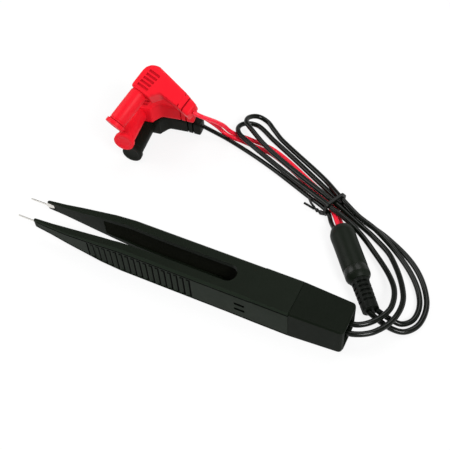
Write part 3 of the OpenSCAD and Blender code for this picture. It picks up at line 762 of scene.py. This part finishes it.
class TESTER_OT_leads(Operator):
    """Lays the two long leads and the three plug leads"""

    bl_idname = "tester.leads"
    bl_label = "Leads"

    def execute(self, context):
        s, objects = shape(), bpy.data.objects
        splitter = [objects[f"splitter_{part}"] for part in ("shell", "ring", "boot")]
        for name, route in (("a", ROUTE_A), ("b", ROUTE_B)):
            lead(f"lead_{name}", f"strand_{name}", route, s.strand, "black_lead", "cord_black",
                 "fitting", splitter)
        for plug, node, route, colour in (
            ("c", "black_wire", ROUTE_BLACK, "black"),
            ("a", "red_wire_a", ROUTE_RED_A, "red"),
            ("b", "red_wire_b", ROUTE_RED_B, "red"),
        ):
            pieces = [objects[f"plug_{plug}_{part}"] for part in ("elbow", "barrel", "stopper")]
            pieces += [frame["nodes"][f"plug_{plug}_{part}"] for part in ("pin", "spring")]
            lead(f"plug_lead_{plug}", node, route, s.wire, f"{colour}_lead", f"wire_{colour}",
                 "plug", pieces)
        return {"FINISHED"}


class TESTER_OT_housing(Operator):
    """Rounds the block, the rear cap and the side panels"""

    bl_idname = "tester.housing"
    bl_label = "Housing"

    def execute(self, context):
        s = shape()

        # Rounded faces at the rear cap's joint with the block take painted shade
        def at_seam(face):
            return abs(centre_of(face).x - SEAM_X) < SEAM_NEAR

        def in_vent(vert, height):
            x, z = vert.co.x / MM - VENT_X, vert.co.z / MM - height
            return -0.1 < x < VENT_LENGTH + 0.1 and abs(z) < VENT_HALF + 0.05

        def panel_edit(bm):
            for height in VENT_HEIGHTS:
                inside = [v for v in bm.verts if in_vent(v, height)]
                # Faces wholly inside a vent take painted shade
                for face in {f for v in inside for f in v.link_faces}:
                    if all(in_vent(v, height) for v in face.verts):
                        face.material_index = 1
                for vert in inside:
                    vert.co.z = (height + (vert.co.z / MM - height) * VENT_OPENING) * MM
            sink_outline(bm, PANEL_SPANS)

        def block_edit(bm):
            shade_slot(bm)
            mark_rims(bm)

        dress_copy("body_block", "housing_block", "housing_plastic", "tester", "body_plastic",
                   s.edge, skip=on_root, edit=block_edit, deep="channel_shade")
        dress_copy("end_cap", "rear_cap", "cap_grain", "tester", "cover_plastic", s.edge,
                   shaded=at_seam)
        for side in ("near", "far"):
            dress_copy(f"{side}_side_panel", f"{side}_panel", "cover_grain", "tester",
                       "cover_plastic", s.seam, skip=on_root, edit=panel_edit)
        dress_copy("cord_clamp", "clamp_block", "boot_rubber", "tester", "clamp_rubber", s.edge)
        return {"FINISHED"}


def join_root(bm):
    """Moves the root of a finger piece up to the block and cuts loops across it at the stations."""
    for vert in bm.verts:
        if vert.co.x > ROOT_X - ROOT_ZONE:
            vert.co.x = ROOT_X
    for x in ROOT_STATIONS:
        bmesh.ops.bisect_plane(
            bm, geom=bm.verts[:] + bm.edges[:] + bm.faces[:], plane_co=(x, 0, 0),
            plane_no=(1, 0, 0), dist=1e-7,
        )


def split_faces(bm, faces, place, normal):
    """Splits only these faces along a plane given in millimetres."""
    verts = listed(v for face in faces for v in face.verts)
    edges = listed(e for face in faces for e in face.edges)
    bmesh.ops.bisect_plane(
        bm, geom=verts + edges + faces, plane_co=Vector(place) * MM, plane_no=normal, dist=1e-7,
    )


def shade_grips(bm):
    """Splits the floor of each grip step and marks the part by its end and the part that lies deep
    under its rim with painted shadow.
    """
    for i in range(GRIP_COUNT):
        end = GRIP_START + (i + 1) * GRIP_PITCH
        low = MIDDLE_Z + cover_half(end) - GRIP_RIM - GRIP_ROOF_SHADE

        def floor_faces():
            found = []
            for face in bm.faces:
                centre = centre_of(face)
                if (end - GRIP_PITCH < centre.x < end and abs(face.normal.y) > 0.9
                        and GRIP_DEPTHS[0] < depth_of(centre) < GRIP_DEPTHS[1]):
                    found.append(face)
            return found

        for place, normal in (
            ((end - GRIP_SHADE, 0, 0), (1, 0, 0)), ((end - GRIP_ROOF_REACH, 0, 0), (1, 0, 0)),
            ((0, 0, low), (0, 0, 1)),
        ):
            split_faces(bm, floor_faces(), place, normal)
        for face in floor_faces():
            centre = centre_of(face)
            if centre.x > end - GRIP_SHADE or (centre.z > low and centre.x > end - GRIP_ROOF_REACH):
                face.material_index = 1


def outer_faces(bm, low=-200.0, high=200.0):
    """Faces on the outer side of a cover or panel that reach between two stations."""
    found = []
    for face in bm.faces:
        if (abs(face.normal.y) > 0.9 and abs(depth_of(centre_of(face))) < 0.05
                and min(v.co.x / MM for v in face.verts) < high - 0.01
                and max(v.co.x / MM for v in face.verts) > low + 0.01):
            found.append(face)
    return found


def sink_outline(bm, spans):
    """Slopes the outer face down to the joint line along its long edges, and marks the slope for
    painted shade.
    """
    for x0, h0, x1, h1 in spans:
        for x in (x0, x1):
            split_faces(bm, outer_faces(bm), (x, 0, 0), (1, 0, 0))
        for side in (1, -1):
            place = (x0, 0, MIDDLE_Z + side * (h0 - SEAM_SLOPE))
            normal = Vector((side * (h0 - h1), 0, x1 - x0)).normalized()
            split_faces(bm, outer_faces(bm, x0, x1), place, normal)
    sunk = set()
    for x0, h0, x1, h1 in spans:
        line = ((x0, h0), (x1, h1))
        for face in outer_faces(bm, x0, x1):
            centre = centre_of(face)
            if abs(centre.z - MIDDLE_Z) > along(centre.x, line) - SEAM_SLOPE:
                face.material_index = 1
                sunk.update(v for v in face.verts
                            if abs(v.co.z / MM - MIDDLE_Z) > along(v.co.x / MM, line) - 0.1)
    for vert in sunk:
        vert.co.y -= math.copysign(SEAM_SINK * MM, vert.co.y)


def cut_groove(bm):
    """Cuts the upright groove ahead of the first grip step into the outer face of a cover, and
    marks its walls and floor for painted shade.
    """
    low, high = (GRIP_START - before for before in GROOVE_EDGES)
    reach = cover_half(low) - SEAM_SLOPE - GROOVE_MARGIN
    for place, normal in (
        ((low, 0, 0), (1, 0, 0)), ((high, 0, 0), (1, 0, 0)),
        ((0, 0, MIDDLE_Z + reach), (0, 0, 1)), ((0, 0, MIDDLE_Z - reach), (0, 0, 1)),
    ):
        split_faces(bm, outer_faces(bm, low, high), place, normal)
    strip = [f for f in outer_faces(bm, low, high)
             if low < centre_of(f).x < high and abs(centre_of(f).z - MIDDLE_Z) < reach]
    inward = -sum((f.normal for f in strip), Vector()).normalized()
    floor = bmesh.ops.extrude_face_region(bm, geom=strip)["geom"]
    bmesh.ops.delete(bm, geom=[f for f in strip if f.is_valid], context="FACES_ONLY")
    floor_verts = [v for v in floor if isinstance(v, bmesh.types.BMVert)]
    bmesh.ops.translate(bm, verts=floor_verts, vec=inward * GROOVE_DEPTH * MM)
    for face in {f for v in floor_verts for f in v.link_faces}:
        face.material_index = 1


def shade_channel(bm):
    """Marks the sunk channel on the inner side of a finger shell for painted shade."""
    mark_faces(bm, 1, lambda face, centre: (
        face.normal.y * centre.y < 0 and abs(face.normal.y) > 0.6
        and min(v.co.x for v in face.verts) / MM > CHANNEL_START
        and centre.x < CHANNEL_END and abs(centre.z - MIDDLE_Z) < CHANNEL_HALF))


def mark_rims(bm):
    """Gives the rims beside the covers the covers' finish."""
    mark_faces(bm, 2, lambda face, centre: (
        abs(face.normal.y) > 0.5 and depth_of(centre) < SIDE_RIM))


def shade_slot(bm):
    """Marks the walls of the slot's round end in the block for painted shade."""
    mark_faces(bm, 1, lambda face, centre: (
        centre.x < SLOT_END and abs(centre.y) < SLOT_SIDE
        and abs(centre.z - MIDDLE_Z) < SLOT_HALF))


class TESTER_OT_fingers(Operator):
    """Makes the two fingers whole with the block, and their covers and contacts"""

    bl_idname = "tester.fingers"
    bl_label = "Fingers"

    def execute(self, context):
        spans = [
            (a, cover_half(a), b, cover_half(b)) for a, b in zip(COVER_KNOTS, COVER_KNOTS[1:])
        ]

        def unrounded(edge):
            low, high = GROOVE_ZONE
            return on_root(edge) or all(
                low < v.co.x / MM - GRIP_START < high for v in edge.verts)

        def cover_edit(bm):
            sink_outline(bm, spans)
            shade_grips(bm)
            cut_groove(bm)
            join_root(bm)

        def shell_edit(bm):
            join_root(bm)
            shade_channel(bm)
            mark_rims(bm)

        for side in ("near", "far"):
            finger = dress_copy(
                f"{side}_arm_shell", f"{side}_finger", "housing_plastic", None, "body_plastic",
                shape().edge, skip=on_root, edit=shell_edit, deep="channel_shade")
            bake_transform(finger)
            cover = dress_copy(
                f"{side}_grip_cover", f"{side}_cover", "cover_grain", None, "cover_plastic",
                shape().seam, skip=unrounded, edit=cover_edit)
            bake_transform(cover)
            dress_copy(f"{side}_contact", f"{side}_probe", "probe_metal", f"{side}_arm",
                       "contact_metal", PROBE_EDGE, angle=15.0)
        return {"FINISHED"}


def ring_at(bm, x, low, high, half):
    """A rounded rectangle of vertices across the X axis, in millimetres."""
    ring = bmesh.ops.create_circle(bm, cap_ends=False, radius=1.0, segments=RING_SIDES)["verts"]
    a, b = (high - low) / 2, half
    r = min(PLUG_CORNER, a * 0.95, b * 0.95)
    for i, vert in enumerate(ring):
        angle = math.tau * (i + 0.5) / RING_SIDES
        u, v = math.cos(angle), math.sin(angle)
        grow = min(a / max(abs(u), 1e-9), b / max(abs(v), 1e-9))
        px, py = u * grow, v * grow
        cx = math.copysign(max(abs(px) - (a - r), 0), px)
        cy = math.copysign(max(abs(py) - (b - r), 0), py)
        size = math.hypot(cx, cy)
        if abs(px) > a - r and abs(py) > b - r and size > 0:
            px = math.copysign(a - r, px) + cx / size * r
            py = math.copysign(b - r, py) + cy / size * r
        vert.co = Vector((x, (low + high) / 2 + px, py)) * MM
    return ring


def ring_edges(verts):
    chosen = set(verts)
    return listed(e for v in verts for e in v.link_edges if e.other_vert(v) in chosen)


def plug_low(x):
    """Lower side of a plug: head, inner corner, curve under the arm, then the neck."""
    if x < CORNER_X:
        return HEAD_LOW
    if x < ARM_X - ARM_REACH:
        return CORNER_LOW - math.sqrt(max(0.0, CORNER_ROUND ** 2 - (x - CORNER_X) ** 2))
    if x < ARM_X:
        return CORNER_LOW + ARM_RISE * (1 - ((ARM_X - x) / ARM_REACH) ** ARM_CURVE)
    return along(x, ((ARM_X, -2.6), (PLUG_NECK, -3.0), (PLUG_END, -3.8)))


def plug_high(x):
    """Upper side of a plug: the round of its head, then straight slopes."""
    if x < HEAD_X:
        return HEAD_HIGH - HEAD_ROUND + math.sqrt(max(0.0, HEAD_ROUND ** 2 - (x - HEAD_X) ** 2))
    return along(x, ((HEAD_X, HEAD_HIGH), (PLUG_NECK, 6.3), (PLUG_END, 4.2)))


def plug_half(x):
    return along(x, ((9, PLUG_SIDE), (PLUG_NECK, 4.75), (PLUG_END, 4.5)))


def plug_rings():
    """Stations along the plug: x, low, high, half width."""
    xs = [PLUG_BACK + PLUG_ROUND * (1 - math.cos(math.radians(a))) for a in range(0, 91, 15)]
    xs += [PLUG_BACK + HEAD_ROUND * (1 - math.cos(math.radians(a))) for a in range(36, 91, 9)]
    xs += [4, 5.5, 7.0, 7.4, 7.8, 8.05, 8.2, 8.28]
    xs += [ARM_X - ARM_REACH * math.cos(math.radians(a))
           for a in (3, 8, 14, 22, 30, 40, 50, 60, 70, 80, 90)]
    xs += [14.5, 17, 20, 22.5]
    stations = []
    for x in xs:
        left = max(0.0, PLUG_ROUND - (x - PLUG_BACK))
        inset = PLUG_ROUND - math.sqrt(max(0.0, PLUG_ROUND ** 2 - left ** 2))
        stations.append(
            (x, plug_low(x) + inset, plug_high(x) - inset * 0.3, plug_half(x) - inset))
    for x, cut_y, cut_z in PLUG_CUTS:
        stations.append((x, plug_low(x) + cut_y, plug_high(x) - cut_y, plug_half(x) - cut_z))
    return stations


def plug_shell():
    """The elbow body of a plug with the cuts in its neck, in its own place."""
    bm = bmesh.new()
    previous = None
    for station in plug_rings():
        ring = ring_at(bm, *station)
        if previous:
            bmesh.ops.bridge_loops(bm, edges=ring_edges(previous) + ring_edges(ring))
        else:
            bm.faces.new(ring)
        previous = ring
    bm.faces.new(previous)
    bmesh.ops.recalc_face_normals(bm, faces=bm.faces)
    return bm


def in_cut(face, centre):
    """Tells the walls of a plug's moulded lines and of the cuts in its neck, which take painted
    shade.
    """
    row = (centre.y - LINE_LOW) / LINE_PITCH
    line = (LINE_SPAN[0] < centre.x < LINE_SPAN[1] and 5.0 < abs(centre.z) < PLUG_SIDE - 0.03
            and -0.35 < row < LINE_COUNT - 0.65 and abs(row - round(row)) < 0.32)
    notch = NOTCH_SPAN[0] < centre.x < NOTCH_SPAN[1] and abs(face.normal.y) > 0.5
    return line or notch or COLLAR_SPAN[0] < centre.x < COLLAR_SPAN[1]


def cut_lines(bm, place, name):
    """Cuts the moulded lines into both flat faces of a plug's head."""
    cutter = bmesh.new()
    lying = Matrix.Rotation(math.radians(90), 4, "Y")
    for side in (-1, 1):
        for i in range(LINE_COUNT):
            middle = (i * LINE_STAGGER + LINE_X + LINE_LENGTH / 2, LINE_LOW + i * LINE_PITCH,
                      side * (PLUG_SIDE + 0.05))
            bmesh.ops.create_cone(
                cutter, cap_ends=True, segments=14, radius1=LINE_RADIUS * MM,
                radius2=LINE_RADIUS * MM, depth=LINE_LENGTH * MM,
                matrix=Matrix.Translation(Vector(middle) * MM) @ lying,
            )
    things = []
    for label, source in (("cutter", cutter), ("blank", bm)):
        mesh = bpy.data.meshes.new(f"{name}_{label}")
        source.to_mesh(mesh)
        source.free()
        things.append(bpy.data.objects.new(mesh.name, mesh))
        bpy.context.scene.collection.objects.link(things[-1])
    tool, body = things
    modifier = body.modifiers.new("Lines", "BOOLEAN")
    modifier.operation = "DIFFERENCE"
    modifier.solver = "EXACT"
    modifier.object = tool
    bpy.context.view_layer.update()
    cut = body.evaluated_get(bpy.context.evaluated_depsgraph_get()).to_mesh()
    result = bmesh.new()
    result.from_mesh(cut)
    bpy.data.objects.remove(tool)
    bpy.data.objects.remove(body)
    bmesh.ops.remove_doubles(result, verts=result.verts, dist=2e-7)
    mark_faces(result, 1, in_cut)
    move(result, place)
    return result


class TESTER_OT_plugs(Operator):
    """Makes the three elbow plugs with their barrels and caps"""

    bl_idname = "tester.plugs"
    bl_label = "Plugs"

    def execute(self, context):
        for letter, (at, turn) in PLUG_PLACES.items():
            plug = f"plug_{letter}"
            black = letter == "c"
            finish = made("black_plastic" if black else "red_plastic")
            slot = "plug_black" if black else "plug_red"
            place = Matrix.Translation(at) @ turn_matrix(turn)
            axis = place @ turn_matrix((90, 0, 0))
            body = finish_mesh(
                cut_lines(plug_shell(), place, plug), f"{plug}_elbow", finish, 34.0, recalc=False)
            # Painted shade for the walls of the plug's moulded lines and neck cuts
            body.data.materials.append(made("recess_shade" if black else "red_cut_shade"))
            stand_for(body, f"{plug}_body", slot, "tester")
            for profile, bevel, name, node, rides in (
                (BARREL_PROFILE, BARREL_EDGE, "barrel", "sleeve", "tester"),
                (STOPPER_PROFILE, STOPPER_EDGE, "stopper", "cap", f"cap_{letter}"),
            ):
                piece = finish_mesh(turned(profile, axis, bevel), f"{plug}_{name}", finish)
                stand_for(piece, f"{plug}_{node}", slot, rides)
        return {"FINISHED"}


class TESTER_OT_splitter(Operator):
    """Turns the splitter, its band and its ribbed strain relief"""

    bl_idname = "tester.splitter"
    bl_label = "Splitter"

    def execute(self, context):
        at, turn = SPLIT_PLACE
        place = Matrix.Translation(at) @ turn_matrix(turn)
        for profile, bevel, name, finish, node, slot in (
            (SPLITTER_PROFILE, SPLITTER_EDGE, "shell", "splitter_shell_plastic", "body",
             "splitter_plastic"),
            (BAND_PROFILE, BAND_EDGE, "ring", "band_gloss", "band", "band_plastic"),
        ):
            piece = finish_mesh(
                turned(profile, place, bevel), f"splitter_{name}", made(finish), 30.0)
            stand_for(piece, f"splitter_{node}", slot, "tester")
        dress_copy("splitter_relief", "splitter_boot", "boot_rubber", "tester", "relief_rubber",
                   BOOT_EDGE)
        return {"FINISHED"}


class TESTER_OT_tie(Operator):
    """Winds the wire tie round the bundle of leads"""

    bl_idname = "tester.tie"
    bl_label = "Wire tie"

    def execute(self, context):
        dress_copy("twist_tie", "wire_tie", "tie_sheath", "tester", "tie_plastic", TIE_EDGE)
        return {"FINISHED"}


class TESTER_OT_stage(Operator):
    """Sets the floor, the surrounding light and the lamps"""

    bl_idname = "tester.stage"
    bl_label = "Stage"

    def execute(self, context):
        scene = context.scene
        scene.view_settings.view_transform = "Standard"
        material = bpy.data.materials.new("floor_paper")
        material.use_nodes = True
        tree = material.node_tree
        tree.nodes.clear()
        out = tree.nodes.new("ShaderNodeOutputMaterial")
        paper = tree.nodes.new("ShaderNodeBsdfDiffuse")
        place = tree.nodes.new("ShaderNodeTexCoord").outputs["Object"]
        tint = mix_colour(
            tree, noise_node(tree, place, 40.0), (0.80, 0.80, 0.80, 1), (0.84, 0.84, 0.84, 1))
        feed(tree, paper.inputs["Color"], tint)
        glow = tree.nodes.new("ShaderNodeEmission")
        path = tree.nodes.new("ShaderNodeLightPath").outputs
        seen = math_node(tree, "MAXIMUM", path["Is Camera Ray"], math_node(
            tree, "MAXIMUM", path["Is Glossy Ray"], path["Is Transmission Ray"]))
        mixer = tree.nodes.new("ShaderNodeMixShader")
        feed(tree, mixer.inputs[0], math_node(tree, "MULTIPLY", seen, FLOOR_GLOW))
        feed(tree, mixer.inputs[1], paper.outputs[0])
        feed(tree, mixer.inputs[2], glow.outputs[0])
        feed(tree, out.inputs["Surface"], mixer.outputs[0])
        bm = bmesh.new()
        bmesh.ops.create_grid(
            bm, x_segments=1, y_segments=1, size=FLOOR_SIZE,
            matrix=Matrix.Translation((0, 0, -FLOOR_DROP)),
        )
        floor = finish_mesh(bm, "floor", material)

        world = bpy.data.worlds.new("studio")
        scene.world = world
        world.use_nodes = True
        tree = world.node_tree
        back = tree.nodes["Background"]
        split = tree.nodes.new("ShaderNodeSeparateXYZ")
        feed(tree, split.inputs[0], tree.nodes.new("ShaderNodeTexCoord").outputs["Generated"])
        rise = ramp_node(tree, split.outputs["Z"], 0.18, 0.60)
        sky = mix_colour(tree, rise, (1, 1, 1, 1), (0.20, 0.20, 0.20, 1))
        feed(tree, back.inputs["Color"], sky)

        for name, at, aim, size, power in LAMPS:
            lamp = bpy.data.lights.new(name, "AREA")
            lamp.shape = "DISK"
            lamp.size = size
            lamp.energy = power
            holder = bpy.data.objects.new(name, lamp)
            holder.location = at
            holder.rotation_euler = (
                Vector(aim) - Vector(at)).to_track_quat("-Z", "Y").to_euler()
            scene.collection.objects.link(holder)
        return {"FINISHED"}


class TESTER_PT_panel(Panel):
    """Shows the shape and colour settings and a button for each step"""

    bl_idname = "TESTER_PT_panel"
    bl_label = "Component tester"
    bl_space_type = "VIEW_3D"
    bl_region_type = "UI"
    bl_category = "Tester"

    def draw(self, context):
        for group in (shape(), colours()):
            box = self.layout.box()
            for field in group.bl_rna.properties.keys():
                if field not in {"rna_type", "name"}:
                    box.prop(group, field)
        for step in STEPS:
            self.layout.operator(step.bl_idname)


STEPS = (
    TESTER_OT_finishes,
    TESTER_OT_camera,
    TESTER_OT_plugs,
    TESTER_OT_splitter,
    TESTER_OT_leads,
    TESTER_OT_housing,
    TESTER_OT_fingers,
    TESTER_OT_tie,
    TESTER_OT_stage,
)
CLASSES = (TesterShape, TesterColours, *STEPS, TESTER_PT_panel)


def register():
    for item in CLASSES:
        bpy.utils.register_class(item)
    bpy.types.Scene.tester_shape = PointerProperty(type=TesterShape)
    bpy.types.Scene.tester_colours = PointerProperty(type=TesterColours)


def unregister():
    del bpy.types.Scene.tester_colours
    del bpy.types.Scene.tester_shape
    for item in reversed(CLASSES):
        bpy.utils.unregister_class(item)


def main():
    register()
    for step in STEPS:
        getattr(bpy.ops.tester, step.bl_idname.split(".")[1])()


if __name__ == "__main__":
    main()
